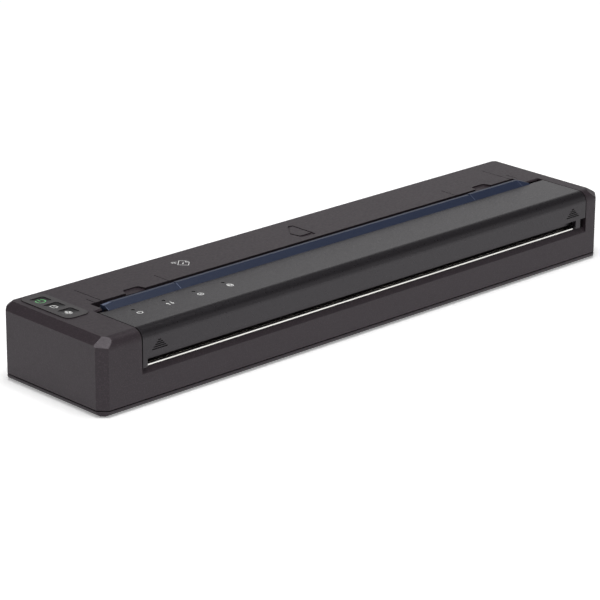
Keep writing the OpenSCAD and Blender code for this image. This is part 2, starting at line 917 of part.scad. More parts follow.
module paper_guide() color(soft_black) {
    rib_pitch = 27;
    rib_count = floor((guide_right - guide_left - 10) / rib_pitch);
    rib_foot = nip_height - 5.2;
    difference() {
        union() {
            // the chute, with a hook under the deck's edge and a turned-down front
            along_x(guide_left, guide_right)
                polygon([
                    chute_top, chute_foot, [chute_foot.x - 0.6, chute_foot.y - 1],
                    [chute_foot.x + 0.3, chute_foot.y - 1.9], [chute_foot.x + 1.6, chute_foot.y - 2.4],
                    [chute_foot.x + 1.6, chute_z(chute_foot.x + 1.6) - above(guide_thickness)],
                    [chute_top.x - 0.6, chute_z(chute_top.x - 0.6) - above(guide_thickness)],
                    [chute_top.x + 2.6, chute_top.y - 1.6], [chute_top.x + 2.6, chute_top.y]
                ]);
            for (i = [0:rib_count])
                along_x(guide_left + 4 + i * rib_pitch, guide_left + 5.2 + i * rib_pitch)
                    polygon([
                        [chute_foot.x + 1.6, chute_foot.y - 2], [chute_foot.x + 1.6, rib_foot + 2],
                        [chute_foot.x + 3, rib_foot], [chute_foot.x + 6, rib_foot],
                        [deck_edge - 3, chute_z(deck_edge - 3) - 3],
                        [deck_edge - 0.5, chute_z(deck_edge - 0.5) - 0.5]
                    ]);
        }
        // window of the paper sensor
        translate([sensor_x, platen_y + 9, 0])
            along_z(nip_height - 2, top_height)
                square([3.4, 2.2], center = true);
        // room for the motor's end plate
        block([guide_left - 1, motor_y - 9, motor_z - 8],
            [motor_left + motor_length + 1, motor_y + 8, motor_z + 7.2]);
    }
}

module paper_sensor() color(soft_black) {
    depth = platen_y + 9;
    translate([sensor_x, depth, chute_z(depth) - above(guide_thickness)])
        rotate([chute_angle, 0, 0]) {
            translate([-3.6, -2.6, -2.2])
                cube([7.2, 5.2, 2.2]);
            translate([-1.4, -0.7, -0.1])
                cube([2.8, 1.4, 0.9]);
        }
}

module main_board() color(circuit_green) {
    difference() {
        block([main_board_left, main_board_front, main_board_z],
            [main_board_right, main_board_rear, main_board_z + board_thickness]);
        for (place = main_screw_places)
            screw_bore(place, screw_radius + 0.15, main_board_z - 1, main_board_z + 2);
    }
}

module board_parts() color(soft_black) {
    middle = (main_board_front + main_board_rear) / 2;
    span = main_board_right - main_board_left;
    for (chip = board_chips)
        translate([main_board_left + chip[0] * span, middle, main_board_z + board_thickness])
            along_z(0, chip[3])
                square([chip[1], chip[2]], center = true);
}

module board_screws() color(steel) {
    for (place = main_screw_places)
        pan_screw(place, main_board_z + board_thickness, 3.8, false);
    for (x = [port_screw_x, usb_x + 3])
        pan_screw([x, rear - 12.5], port_board_z + board_thickness, 3.2, false);
    for (place = button_post_places)
        pan_screw(place, button_board_top - board_thickness - screw_head, 3.2, true);
}

module port_board() color(circuit_green) {
    difference() {
        block([jack_x - 6, rear - 15.5, port_board_z],
            [usb_x + 5.5, rear - wall - 1.8, port_board_z + board_thickness]);
        for (x = [port_screw_x, usb_x + 3])
            screw_bore([x, rear - 12.5], screw_radius + 0.15, port_board_z - 1, port_board_z + 2);
    }
}

module usb_socket() color(steel) {
    shell = 0.3;
    length = 7.4;
    along_y(rear - 0.4 - length, rear - 0.4)
        translate([usb_x, usb_z])
            difference() {
                usb_outline(usb_width, usb_height);
                usb_outline(usb_width - 2 * shell, usb_height - 2 * shell);
            }
    along_y(rear - 0.4 - length, rear + 0.6 - length)
        translate([usb_x, usb_z])
            usb_outline(usb_width - 0.4, usb_height - 0.4);
    along_y(rear - 0.4 - length, rear - 1.4)
        translate([usb_x, usb_z])
            square([6.2, 0.7], center = true);
}

module power_jack() color(soft_black) {
    length = 11;
    hole = 2.9;
    along_y(rear - 0.4 - length, rear - 0.4)
        translate([jack_x, jack_z])
            difference() {
                circle(jack_radius, $fn = small_fn);
                circle(hole, $fn = small_fn);
            }
    along_y(rear - 0.4 - length, rear + 1.6 - length)
        translate([jack_x, jack_z])
            circle(jack_radius - 0.2, $fn = small_fn);
    along_y(rear + 1.5 - length, rear - 1.8)
        translate([jack_x, jack_z])
            circle(0.9, $fn = small_fn);
    difference() {
        block([jack_x - jack_radius, rear - 0.4 - length, port_board_z + board_thickness],
            [jack_x + jack_radius, rear - wall - 0.3, jack_z]);
        along_y(rear - 1 - length, rear + 1)
            translate([jack_x, jack_z])
                circle(jack_radius - 0.1, $fn = small_fn);
    }
}

module battery_stick() color([0.3, 0.32, 0.36]) {
    cap = 3;
    along_x(battery_left + cap, battery_right - cap)
        translate([battery_y, battery_z])
            circle(battery_radius, $fn = round_fn);
}

module battery_caps() color(soft_black) {
    cap = 3;
    for (from = [battery_left, battery_right - cap])
        along_x(from, from + cap)
            translate([battery_y, battery_z])
                circle(battery_radius - 0.3, $fn = round_fn);
}

module battery_contacts() color(brass) {
    for (side = [-1, 1])
        block([battery_left - 2.4, battery_y + side * 3.5 - 1.5, battery_z - 3],
            [battery_left - 0.1, battery_y + side * 3.5 + 1.5, battery_z + 3]);
}

module battery_door() color(charcoal) {
    low = door_low + door_gap;
    high = door_high - door_gap;
    pivot_x = right - door_knuckle;
    difference() {
        union() {
            block([right - door_thickness, door_pivot_y, low], [right, door_edge, high]);
            translate([pivot_x, door_pivot_y, low])
                cylinder(h = high - low, r = door_knuckle, $fn = small_fn);
            // snap tongue behind the free edge
            block([right - wall - 0.9, door_edge - 2.2, battery_z - 2.5],
                [right - door_thickness + eps, door_edge - 0.9, battery_z + 2.5]);
        }
        translate([pivot_x, door_pivot_y, low - 1])
            cylinder(h = high - low + 2, r = door_pin_radius + running_fit, $fn = small_fn);
        // grip grooves
        for (i = [0:3])
            block([right - 0.4, door_edge - 3 - i * 1.4, battery_z - 4],
                [right + 1, door_edge - 2.4 - i * 1.4, battery_z + 4]);
    }
}

module door_pin() color(steel) {
    translate([right - door_knuckle, door_pivot_y, door_low - pin_seat])
        cylinder(h = door_high - door_low + 2 * pin_seat, r = door_pin_radius, $fn = small_fn);
}

module button_bezel() color([0.24, 0.23, 0.245]) {
    middle = (panel_front + panel_rear) / 2;
    post_top = panel_under + eps;
    difference() {
        union() {
            translate([button_x, middle, 0])
                along_z(panel_under, top_height + panel_proud)
                    rounded_plate(panel_width, panel_rear - panel_front, panel_radius);
            // hooks that hold it from below
            for (y = [-8, 8])
                translate([button_x - panel_width / 2, middle + y, 0])
                    along_z(panel_under, deck_under)
                        square([2.2, 6], center = true);
            translate([button_x, panel_front, 0])
                along_z(panel_under, deck_under)
                    square([6, 2.4], center = true);
            for (place = button_post_places)
                screw_bore(place, 1.6, button_board_top, post_top);
        }
        for (y = button_row)
            translate([button_x, y, 0])
                along_z(panel_under - 1, top_height + 1)
                    rounded_plate(button_width + 2 * button_gap, button_depth + 2 * button_gap, 1.1);
        for (place = button_post_places)
            screw_bore(place, screw_radius, button_board_top - 1, button_board_top + 2.1);
    }
}

module button(y) {
    dish = 16;
    dish_depth = 0.45;
    top_z = top_height + panel_proud - 0.1;
    translate([button_x, y, 0])
        difference() {
            union() {
                along_z(button_seat - eps, top_z)
                    rounded_plate(button_width, button_depth, 1);
                along_z(button_seat - button_flange_height, button_seat)
                    rounded_plate(button_width + 2 * button_flange, button_depth + 2 * button_flange, 1);
                along_z(stem_foot, button_seat - eps)
                    circle(1.1, $fn = small_fn);
            }
            translate([0, 0, top_z + dish - dish_depth])
                sphere(dish, $fn = round_fn);
        }
}

module power_button() color([0.15, 0.15, 0.16])
    button(button_row[0]);

module feed_button() color([0.15, 0.15, 0.16])
    button(button_row[1]);

module wireless_button() color([0.15, 0.15, 0.16])
    button(button_row[2]);

module button_board() color(circuit_green) {
    difference() {
        block([button_x - 5.4, panel_front + 0.2, button_board_top - board_thickness],
            [button_x + 4, panel_rear - 0.2, button_board_top]);
        for (place = button_post_places)
            screw_bore(place, screw_radius + 0.15, button_board_top - 2, button_board_top + 1);
    }
}

module button_switches() color(steel) {
    for (y = button_row)
        translate([button_x, y, button_board_top]) {
            along_z(0, 1)
                square([4.6, 4.6], center = true);
            cylinder(h = switch_height, r = 1, $fn = small_fn);
        }
}

// Hatched triangle that marks an end of the exit slot
module feed_mark(x) {
    rows = 5;
    row_pitch = 0.75;
    groove = 0.42;
    depth = 0.5;
    for (i = [0:rows - 1]) {
        half = 0.7 * (rows - i);
        block([x - half, front - 1, cover_lip_height + 1.7 + i * row_pitch],
            [x + half, front + depth, cover_lip_height + 1.7 + i * row_pitch + groove]);
    }
}

module release_cover() color(charcoal) {
    rib = 1.2;
    skirt_foot = nip_height + 2.4;
    difference() {
        union() {
            // shell: the form of the case, between the seams
            difference() {
                intersection() {
                    case_form(0, base, top_height + 1);
                    along_x(cover_left, cover_right)
                        polygon([
                            [front - 1, cover_lip_height], [front + cover_wall, cover_lip_height],
                            [front + cover_wall + 4, cover_under - 2], [ridge_seat, cover_under - 2],
                            [ridge_seat, top_height + 1], [front - 1, top_height + 1]
                        ]);
                }
                along_x(cover_left - 1, cover_right + 1)
                    cover_cavity();
                // grooves over the hinge, beside the ends of the ridge
                for (span = [[cover_left - 1, ridge_left], [ridge_right, cover_right + 1]])
                    block([span[0], cover_corner, cover_under - 3], [span[1], ridge_rear, top_height + 1]);
            }
            // end tabs of the front wall
            block([cover_left, front, tab_foot], [slot_left, front + cover_wall, cover_lip_height + eps]);
            block([slot_right, front, tab_foot + 0.4],
                [slot_right + right_tab_width, front + cover_wall, cover_lip_height + eps]);
            // end skirts
            for (from = [cover_left, cover_right - cover_wall])
                along_x(from, from + cover_wall)
                    polygon([
                        [front + cover_wall - 0.2, cover_lip_height], [front + cover_wall + 1.5, skirt_foot],
                        [hinge_y - 4, skirt_foot], [hinge_y - 2.4, skirt_foot + 2],
                        [hinge_y - 2, cover_under + eps], [front + front_radius, cover_under + eps],
                        [front + cover_wall - 0.2, top_height - front_radius]
                    ]);
            // hinge knuckles
            for (from = [cover_left, cover_right - knuckle_length])
                along_x(from, from + knuckle_length) {
                    translate([hinge_y, hinge_z])
                        circle(knuckle_radius, $fn = small_fn);
                    polygon([
                        [hinge_y, hinge_z - knuckle_radius], [hinge_y, hinge_z],
                        [hinge_y - 0.7 * knuckle_radius, hinge_z + 0.7 * knuckle_radius],
                        [cover_corner, cover_under + eps], [hinge_y - 4.4, cover_under + eps],
                        [hinge_y - 3.2, hinge_z - knuckle_radius]
                    ]);
                }
            // ribs under the top
            for (y = [platen_y + 1.9, hinge_y - 5.4])
                block([cover_left + eps, y, cover_under - 1.6],
                    [cover_right - eps, y + rib, cover_under + eps]);
            // guard in front of the head
            block([cover_left + cover_wall, head_guard_rear - head_guard, head_guard_foot],
                [slot_right + right_tab_width, head_guard_rear, cover_under + eps]);
            // lugs that carry the head's pivot
            for (x = [head_left - ear_width - lug_gap - lug_width, head_right + ear_width + lug_gap])
                along_x(x, x + lug_width) {
                    translate([head_pivot_y, head_pivot_z])
                        circle(head_pin_radius + 1, $fn = small_fn);
                    translate([head_pivot_y - head_pin_radius - 1, head_pivot_z])
                        square([2 * head_pin_radius + 2, cover_under - head_pivot_z + eps]);
                }
            // seats of the springs
            for (x = spring_places)
                translate([path_x + x, spring_y, cover_under - 1])
                    cylinder(h = 1 + eps, r = spring_radius - spring_wire - 0.3, $fn = small_fn);
        }
        // bores of the hinge knuckles
        for (from = [cover_left - 1, cover_right - knuckle_length - 1])
            along_x(from, from + knuckle_length + 2)
                translate([hinge_y, hinge_z])
                    circle(hinge_pin_radius + running_fit, $fn = small_fn);
        along_x(cover_left + cover_wall + 0.1, cover_right - cover_wall - 0.1)
            translate([head_pivot_y, head_pivot_z])
                circle(head_pin_radius, $fn = small_fn);
        for (i = [0:lens_count - 1])
            translate([lens_first + i * lens_pitch, lens_y, cover_under - 1])
                cylinder(h = cover_wall + 2, r = lens_radius, $fn = small_fn);
        feed_mark(slot_left + 5.5);
        feed_mark(slot_right - 2);
    }
}

module cover_cavity() {
    inner = front + cover_wall;
    radius = front_radius - cover_wall;
    difference() {
        polygon([
            [inner, cover_lip_height - 1], [ridge_seat + 1, cover_lip_height - 1],
            [ridge_seat + 1, cover_under], [inner, cover_under]
        ]);
        translate([inner, cover_under - radius])
            difference() {
                translate([-1, 0])
                    square([radius + 1, radius + 1]);
                translate([radius, 0])
                    circle(radius, $fn = round_fn);
            }
    }
}

// Section of the ridge: a slope, a flat top and a wall that guides the sheet down the chute
module ridge_section(top_z) {
    foot_y = chute_foot.x + 1.2;
    rear_low = chute_z(ridge_rear) + above(paper_gap);
    guide_top = paper_gap + guide_thickness;
    polygon([
        [ridge_foot, top_height], [ridge_rear - ridge_flat, top_z], [ridge_rear - 0.3, top_z],
        [ridge_rear, top_z - 0.4], [ridge_rear, rear_low],
        [foot_y, chute_z(foot_y) + above(paper_gap)],
        [foot_y - 0.7, chute_z(foot_y - 0.7) + above(guide_top)],
        [ridge_seat, chute_z(ridge_seat) + above(guide_top)], [ridge_seat, top_height]
    ]);
}

module inlet_ridge() color(navy) {
    middle_left = path_x - a5_width / 2 - 2.6;
    middle_right = path_x + a5_width / 2 + 0.6;
    middle_back = 0.35;
    left_top = ridge_top - 2 * ridge_step;
    // ends of the ridge: [its end, direction inwards, length, drop, height of the top there]
    hips = [[ridge_left, 1, 4, 0.4, left_top], [ridge_right, -1, 4.2, 1.4, ridge_top]];
    difference() {
        // three stretches, each a little higher than the one before
        union() {
            along_x(ridge_left, middle_left + eps)
                ridge_section(left_top);
            along_x(middle_left, middle_right + eps)
                ridge_section(ridge_top - ridge_step);
            along_x(middle_right, ridge_right)
                ridge_section(ridge_top);
        }
        for (hip = hips)
            translate([hip[0], 0, hip[4]])
                along_y(ridge_foot - 1, ridge_rear + 1)
                    polygon([
                        [-hip[1], -hip[3]], [0, -hip[3]], [hip[1] * hip[2], 0],
                        [hip[1] * hip[2], 1], [-hip[1], 1]
                    ]);
        // the middle stretch ends a little further forward
        block([middle_left, ridge_rear - middle_back, top_height - 1],
            [middle_right, ridge_rear + 1, ridge_top + 1]);
    }
}

module cover_hinge_pins() color(steel) {
    for (from = [bay_left - pin_seat, bay_right - knuckle_length - seam + 0.3])
        along_x(from, from + pin_seat + seam + knuckle_length - 0.3)
            translate([hinge_y, hinge_z])
                circle(hinge_pin_radius, $fn = small_fn);
}

module indicator_lenses() color([0.5, 0.55, 0.5]) {
    for (i = [0:lens_count - 1])
        translate([lens_first + i * lens_pitch, lens_y, cover_under - 0.3]) {
            cylinder(h = cover_wall + 0.1, r = lens_radius - 0.02, $fn = small_fn);
            translate([0, 0, -0.5])
                cylinder(h = 0.6, r = lens_radius + 0.5, $fn = small_fn);
        }
}

module indicator_board() color(circuit_green) {
    board_top = cover_under - 1.6;
    block([head_left + ear_width + 0.6, lens_y - 1.9, board_top - 0.8],
        [lens_first + (lens_count - 1) * lens_pitch + 5, hinge_y - 4.4, board_top]);
    for (i = [0:lens_count - 1])
        translate([lens_first + i * lens_pitch - 0.8, lens_y - 0.6, board_top - eps])
            cube([1.6, 1.2, 0.6]);
}

module head_bracket() color(zinc) {
    difference() {
        union() {
            block([head_left, head_front + 1.2, sink_top], [head_right, head_rear + 0.6, bracket_top]);
            for (from = [head_left, head_right - ear_width])
                along_x(from, from + ear_width) {
                    polygon([
                        [head_rear - 2, sink_top], [head_rear + 1.4, sink_top],
                        [head_pivot_y + 1.2, head_pivot_z - 1.2], [head_pivot_y - 1.2, head_pivot_z + 1.4],
                        [head_rear - 2, bracket_top + 0.6]
                    ]);
                    translate([head_pivot_y, head_pivot_z])
                        circle(head_pin_radius + 1, $fn = small_fn);
                }
        }
        along_x(head_left - 1, head_right + 1)
            translate([head_pivot_y, head_pivot_z])
                circle(head_pin_radius + running_fit, $fn = small_fn);
    }
}

module heat_sink() color([0.8, 0.8, 0.82]) {
    along_x(head_left, head_right)
        difference() {
            polygon([
                [head_front, sink_top], [head_front, head_under + substrate_thickness],
                [head_rear, head_under + substrate_thickness], [head_rear, sink_top - 1.2],
                [head_rear - 1, sink_top]
            ]);
            for (i = [0:3])
                translate([head_front + 1.2 + i * 1.5, head_under + substrate_thickness + 1.2])
                    square([0.7, sink_height]);
        }
}

module thermal_head() color([0.9, 0.9, 0.88]) {
    glaze = 0.15;
    chip_drop = 0.25;
    along_x(head_left + 0.4, head_right - 0.4)
        polygon([
            [head_front + 0.5, head_under + chip_drop], [head_front + 4, head_under + chip_drop],
            [head_front + 4.4, head_under + glaze], [platen_y - 1, head_under + glaze],
            [platen_y - 0.5, head_under], [platen_y + 0.5, head_under],
            [platen_y + 1, head_under + glaze], [head_rear - 0.2, head_under + glaze],
            [head_rear - 0.2, head_under + substrate_thickness],
            [head_front + 0.5, head_under + substrate_thickness]
        ]);
}

module head_pivot_pins() color(steel) {
    pin = lug_width + lug_gap + ear_width;
    for (from = [head_left - lug_gap - lug_width, head_right - ear_width])
        along_x(from, from + pin)
            translate([head_pivot_y, head_pivot_z])
                circle(head_pin_radius, $fn = small_fn);
}

// A coil spring: a wire swept along a helix
module coil_spring(height, radius, wire, turns) {
    sides = 6;
    steps = 14;
    count = turns * steps;
    rise = height - 2 * wire;
    function centre(i) =
        [radius * cos(i * 360 / steps), radius * sin(i * 360 / steps), wire + rise * i / count];
    function ring(i) = [
        for (s = [0:sides - 1])
            let (a = s * 360 / sides, turn = i * 360 / steps)
            centre(i) + wire * [cos(a) * cos(turn), cos(a) * sin(turn), sin(a)]
    ];
    polyhedron(
        points = [for (i = [0:count]) each ring(i)],
        faces = [
            [for (s = [0:sides - 1]) s],
            for (i = [0:count - 1], s = [0:sides - 1])
                [
                    i * sides + s, (i + 1) * sides + s,
                    (i + 1) * sides + (s + 1) % sides, i * sides + (s + 1) % sides
                ],
            [for (s = [sides - 1:-1:0]) count * sides + s]
        ]
    );
}

module head_springs() color(steel) {
    for (x = spring_places)
        translate([path_x + x, spring_y, bracket_top + 0.05])
            coil_spring(cover_under - bracket_top - 0.1, spring_radius - spring_wire, spring_wire, 5);
}

lower_case();
upper_case();
rubber_feet();
case_screws();
tear_bar();
left_side_plate();
right_side_plate();
platen_bushings();
chassis_screws();
platen_shaft();
platen_rubber();
platen_gear();
platen_clips();
reduction_gear();
gear_axle();
gear_clip();
motor_body();
motor_shaft();
motor_pinion();
paper_guide();
paper_sensor();
main_board();
board_parts();
board_screws();
port_board();
usb_socket();
power_jack();
battery_stick();
battery_caps();
battery_contacts();
battery_door();
door_pin();
button_bezel();
power_button();
feed_button();
wireless_button();
button_board();
button_switches();
release_cover();
inlet_ridge();
cover_hinge_pins();
indicator_lenses();
indicator_board();
head_bracket();
heat_sink();
thermal_head();
head_pivot_pins();
head_springs();
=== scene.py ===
"""The look of a portable thermal printer for A4 sheets.

The frame is in metres: +X runs along the case to the right, -Y is the front, +Z is up.
"""
import json
import math

import bmesh
import bpy
from mathutils import Matrix, Vector
from mathutils.bvhtree import BVHTree


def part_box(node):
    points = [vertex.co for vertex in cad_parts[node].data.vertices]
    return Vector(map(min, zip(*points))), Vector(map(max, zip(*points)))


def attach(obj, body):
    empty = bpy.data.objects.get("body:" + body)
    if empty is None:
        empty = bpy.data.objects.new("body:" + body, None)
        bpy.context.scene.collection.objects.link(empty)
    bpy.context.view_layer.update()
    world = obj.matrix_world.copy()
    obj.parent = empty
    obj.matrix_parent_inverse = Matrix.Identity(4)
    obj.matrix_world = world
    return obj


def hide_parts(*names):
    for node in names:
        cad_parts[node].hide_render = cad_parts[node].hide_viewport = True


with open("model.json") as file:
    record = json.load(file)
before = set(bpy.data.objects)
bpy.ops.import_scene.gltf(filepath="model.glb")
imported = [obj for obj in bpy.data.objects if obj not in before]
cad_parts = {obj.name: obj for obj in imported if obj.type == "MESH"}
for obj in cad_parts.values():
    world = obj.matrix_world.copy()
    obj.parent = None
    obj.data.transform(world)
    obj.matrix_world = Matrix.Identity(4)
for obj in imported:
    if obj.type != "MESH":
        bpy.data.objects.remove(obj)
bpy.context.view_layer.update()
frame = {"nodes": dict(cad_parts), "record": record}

MM = 0.001
NODES = frame["nodes"]
RECORD = frame["record"]

# Named places of the object, taken from its upper case
CASE_LOW, CASE_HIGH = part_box("upper_case")
LEFT = CASE_LOW.x
FRONT = CASE_LOW.y
TOP = CASE_HIGH.z


def body_of(name):
    """The body that a CAD node belongs to."""
    return next(body for body, members in RECORD["behaviour"]["bodies"].items() if name in members)


def slot_of(name):
    """The material slot that the record gives a CAD node."""
    return next(part["material_slot"] for part in RECORD["subparts"] if part["node"] == name)


def stand(name, data):
    """Puts a mesh, lamp or camera into the scene."""
    item = bpy.data.objects.new(name, data)
    bpy.context.scene.collection.objects.link(item)
    return item


# ---------------------------------------------------------------- camera

# Where the camera stands: to the front left and slightly above the target, at this distance in metres
AZIMUTH = math.radians(43.614)
ELEVATION = math.radians(19.672)
ROLL = math.radians(0.307)
DISTANCE = 1.085108
TARGET = Vector((-0.009214, 0.0, 0.007539))
# The lens and the width of its picture in millimetres, and the nearest that it sees in metres
LENS = 175.814
SENSOR_WIDTH = 36.0
NEAREST = 0.01


def add_camera():
    """The photograph's view."""
    back = Vector((
        -math.sin(AZIMUTH) * math.cos(ELEVATION),
        -math.cos(AZIMUTH) * math.cos(ELEVATION),
        math.sin(ELEVATION),
    ))
    right = (-back).cross(Vector((0, 0, 1))).normalized()
    up = back.cross(right)
    turned_right = right * math.cos(ROLL) + up * math.sin(ROLL)
    turned_up = up * math.cos(ROLL) - right * math.sin(ROLL)
    data = bpy.data.cameras.new("camera")
    data.sensor_width = SENSOR_WIDTH
    data.lens = LENS
    data.clip_start = NEAREST
    camera = stand("camera", data)
    axes = Matrix((turned_right, turned_up, back)).transposed()
    camera.matrix_world = Matrix.Translation(TARGET + back * DISTANCE) @ axes.to_4x4()
    bpy.context.scene.camera = camera


# ---------------------------------------------------------------- materials

class Surface:
    """A material whose nodes are placed in the object's own coordinates, in metres."""

    def __init__(self, name):
        self.material = bpy.data.materials.new(name)
        self.material.use_nodes = True
        self.nodes = self.material.node_tree.nodes
        self.links = self.material.node_tree.links
        self.shader = self.nodes["Principled BSDF"]
        self.place = self.nodes.new("ShaderNodeTexCoord").outputs["Object"]

    def set(self, **values):
        """Values that are the same all over, on the shader's own sockets."""
        for key, value in values.items():
            self.shader.inputs[key.replace("_", " ")].default_value = value

    def link(self, output, socket):
        self.links.new(output, socket)

    def noise(self, size, detail=2.0, stretch=(1, 1, 1)):
        """Noise whose grains are about size metres across."""
        scale = self.nodes.new("ShaderNodeMapping")
        scale.inputs["Scale"].default_value = [axis / size for axis in stretch]
        self.link(self.place, scale.inputs["Vector"])
        node = self.nodes.new("ShaderNodeTexNoise")
        node.inputs["Scale"].default_value = 1.0
        node.inputs["Detail"].default_value = detail
        self.link(scale.outputs["Vector"], node.inputs["Vector"])
        return node.outputs["Fac"]

    def spread(self, value, low, high, start=0.3, end=0.7):
        """value, taken from start..end to low..high."""
        node = self.nodes.new("ShaderNodeMapRange")
        node.inputs["From Min"].default_value = start
        node.inputs["From Max"].default_value = end
        node.inputs["To Min"].default_value = low
        node.inputs["To Max"].default_value = high
        self.link(value, node.inputs["Value"])
        return node.outputs["Result"]

    def patches(self, size, detail, start=0.3, end=0.7, stretch=(1, 1, 1)):
        """Noise taken from start..end to 0..1, to blend two colours by."""
        return self.spread(self.noise(size, detail, stretch), 0, 1, start, end)

    def blend(self, factor, first, second):
        """first where factor is 0, second where it is 1; either is a colour or a socket."""
        node = self.nodes.new("ShaderNodeMix")
        node.data_type = "RGBA"
        self.link(factor, node.inputs["Factor"])
        for value, socket in ((first, node.inputs["A"]), (second, node.inputs["B"])):
            if isinstance(value, bpy.types.NodeSocket):
                self.link(value, socket)
            else:
                socket.default_value = (*value, 1)
        return node.outputs["Result"]

    def colour(self, output):
        self.link(output, self.shader.inputs["Base Color"])

    def roughness(self, output):
        self.link(output, self.shader.inputs["Roughness"])

    def polish(self, low, high, size, detail=2):
        """Roughness that changes between low and high over patches about size metres across."""
        self.roughness(self.spread(self.noise(size, detail), low, high))

    def bump(self, height, depth):
        """Relief by a height of 0 to 1, which stands for 0 to depth metres."""
        node = self.nodes.new("ShaderNodeBump")
        node.inputs["Distance"].default_value = depth
        self.link(height, node.inputs["Height"])
        self.link(node.outputs["Normal"], self.shader.inputs["Normal"])


# Flow marks of moulded plastic: how large they are, and how far they change its colour
FLOW_SIZE = 40 * MM
FLOW_CHANGE = 0.03
# How far the grain of moulded plastic changes its roughness
GRAIN_ROUGHNESS = 0.04
# Stretch of the marks of a metal that is drawn or turned along X
ALONG_X = (0.03, 1, 1)

CHARCOAL = (0.0238, 0.0172, 0.0210)
WARM_SHEEN = (1.0, 0.94, 1.0)


def shade(colour, factor):
    return tuple(channel * factor for channel in colour)


def grey(value):
    return (value, value, value)


def moulded(name, colour, rough=0.42, grain=0.35 * MM, depth=0.012 * MM, painted_glint=0.0, specular=0.5,
            sheen=(1, 1, 1)):
    """Injection-moulded plastic with a fine spark-eroded grain and faint flow marks; lighter flecks of the
    grain are painted glints.
    """
    surface = Surface(name)
    flow = surface.patches(FLOW_SIZE, detail=2)
    tone = surface.blend(flow, shade(colour, 1 - FLOW_CHANGE), shade(colour, 1 + FLOW_CHANGE))
    # lighter flecks of the grain: painted glints that stand for the light which the grain catches
    glint_fleck = surface.patches(grain, detail=1, start=0.5, end=0.75)
    surface.colour(surface.blend(glint_fleck, tone, shade(colour, 1.0 + painted_glint)))
    surface.polish(rough - GRAIN_ROUGHNESS, rough + GRAIN_ROUGHNESS, size=grain * 2)
    surface.bump(surface.noise(grain), depth)
    surface.set(Specular_IOR_Level=specular, Specular_Tint=(*sheen, 1))
    return surface.material


def metal(name, colour, rough=0.3, along=(1, 1, 1), depth=0.004 * MM):
    """Metal with fine drawing or turning marks that run along the axis with the small stretch."""
    surface = Surface(name)
    marks = surface.noise(0.25 * MM, detail=3, stretch=along)
    surface.colour(surface.blend(surface.patches(9 * MM, detail=3), shade(colour, 0.9), colour))
    surface.roughness(surface.spread(marks, low=rough - 0.07, high=rough + 0.08))
    surface.bump(marks, depth)
    surface.set(Metallic=1.0)
    return surface.material


def rubber(name, colour):
    """Matt rubber, slightly cloudy."""
    surface = Surface(name)
    clouds = surface.patches(4 * MM, detail=4)
    surface.colour(surface.blend(clouds, shade(colour, 0.8), shade(colour, 1.2)))
    surface.polish(0.72, 0.88, size=1.5 * MM, detail=3)
    surface.bump(surface.noise(0.2 * MM, detail=3), depth=0.01 * MM)
    surface.set(Specular_IOR_Level=0.3)
    return surface.material


def circuit_board(name, mask, track):
    """Solder mask that is lighter over the tracks, which run along X."""
    surface = Surface(name)
    tracks = surface.patches(1.4 * MM, detail=0, start=0.52, end=0.55, stretch=(0.25, 1, 1))
    surface.colour(surface.blend(tracks, mask, track))
    surface.polish(0.28, 0.4, size=5 * MM)
    surface.bump(tracks, depth=0.02 * MM)
    return surface.material


def sleeve(name, colour):
    """Heat-shrink sleeve over the battery cells."""
    surface = Surface(name)
    surface.colour(surface.blend(surface.patches(30 * MM, detail=2), shade(colour, 0.85), colour))
    surface.polish(0.22, 0.36, size=6 * MM, detail=3)
    surface.bump(surface.noise(5 * MM, stretch=(0.3, 1, 1)), depth=0.12 * MM)
    return surface.material


def smoked(name, dark, light):
    """Dark clear plastic of the indicator lenses."""
    surface = Surface(name)
    surface.colour(surface.blend(surface.patches(0.6 * MM, detail=2), dark, light))
    surface.polish(0.12, 0.2, size=0.8 * MM)
    surface.set(Coat_Weight=0.4)
    return surface.material


def ink(name, colour, wear=0.1):
    """Screen-printed marks: slightly uneven, with a matt surface."""
    surface = Surface(name)
    thin = surface.patches(0.5 * MM, detail=3, start=0.35, end=0.65)
    surface.colour(surface.blend(thin, shade(colour, 1 - wear), colour))
    surface.polish(0.45, 0.6, size=1 * MM)
    return surface.material


